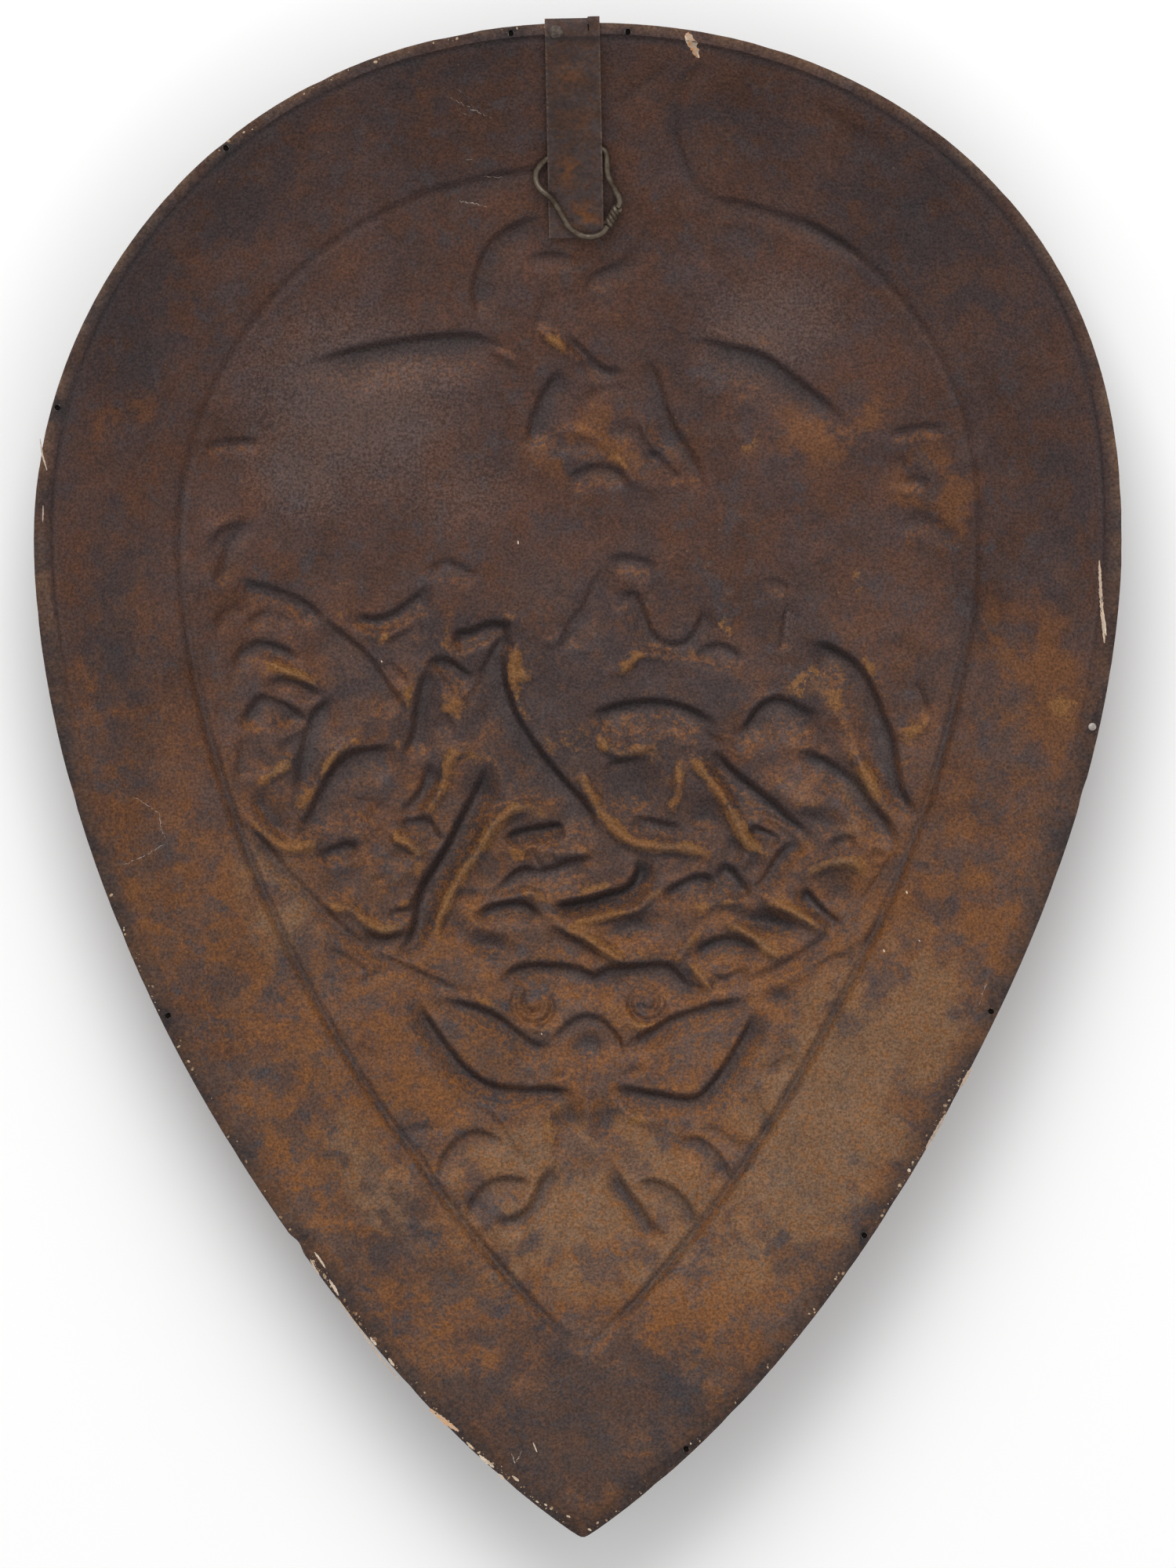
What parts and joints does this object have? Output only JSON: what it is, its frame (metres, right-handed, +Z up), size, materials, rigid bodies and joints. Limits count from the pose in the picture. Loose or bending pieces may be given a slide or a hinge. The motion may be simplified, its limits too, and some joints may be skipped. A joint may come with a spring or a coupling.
{
  "type": "embossed bronze parade shield",
  "caption": "Dished teardrop shield embossed with a battle medallion, its hollow back up, with a flat holed rim, a hooked hanger strap and a wire loop.",
  "frame": {"origin": "centre of the bounding box on the surface that the shield lies on, front down", "axes": "+Z up out of the hollow back, +Y towards the crown with its strap, -Y towards the point, +X to the right seen from the back"},
  "size_m": [0.4597, 0.643, 0.0537],
  "materials": {
    "bronze": "dark brown patina with rusty and bluish patches",
    "iron": "dark, rusted at both ends",
    "solder": "rough and dull with pale specks",
    "nail": "pale and worn",
    "wire": "dull grey brown"
  },
  "bodies": {
    "root": {"shield_plate": "bronze", "hanger_strap": "iron", "solder_lump": "solder", "rim_nail": "nail", "hanging_wire": "wire", "wire_twist": "wire"}
  },
  "joints": []
}
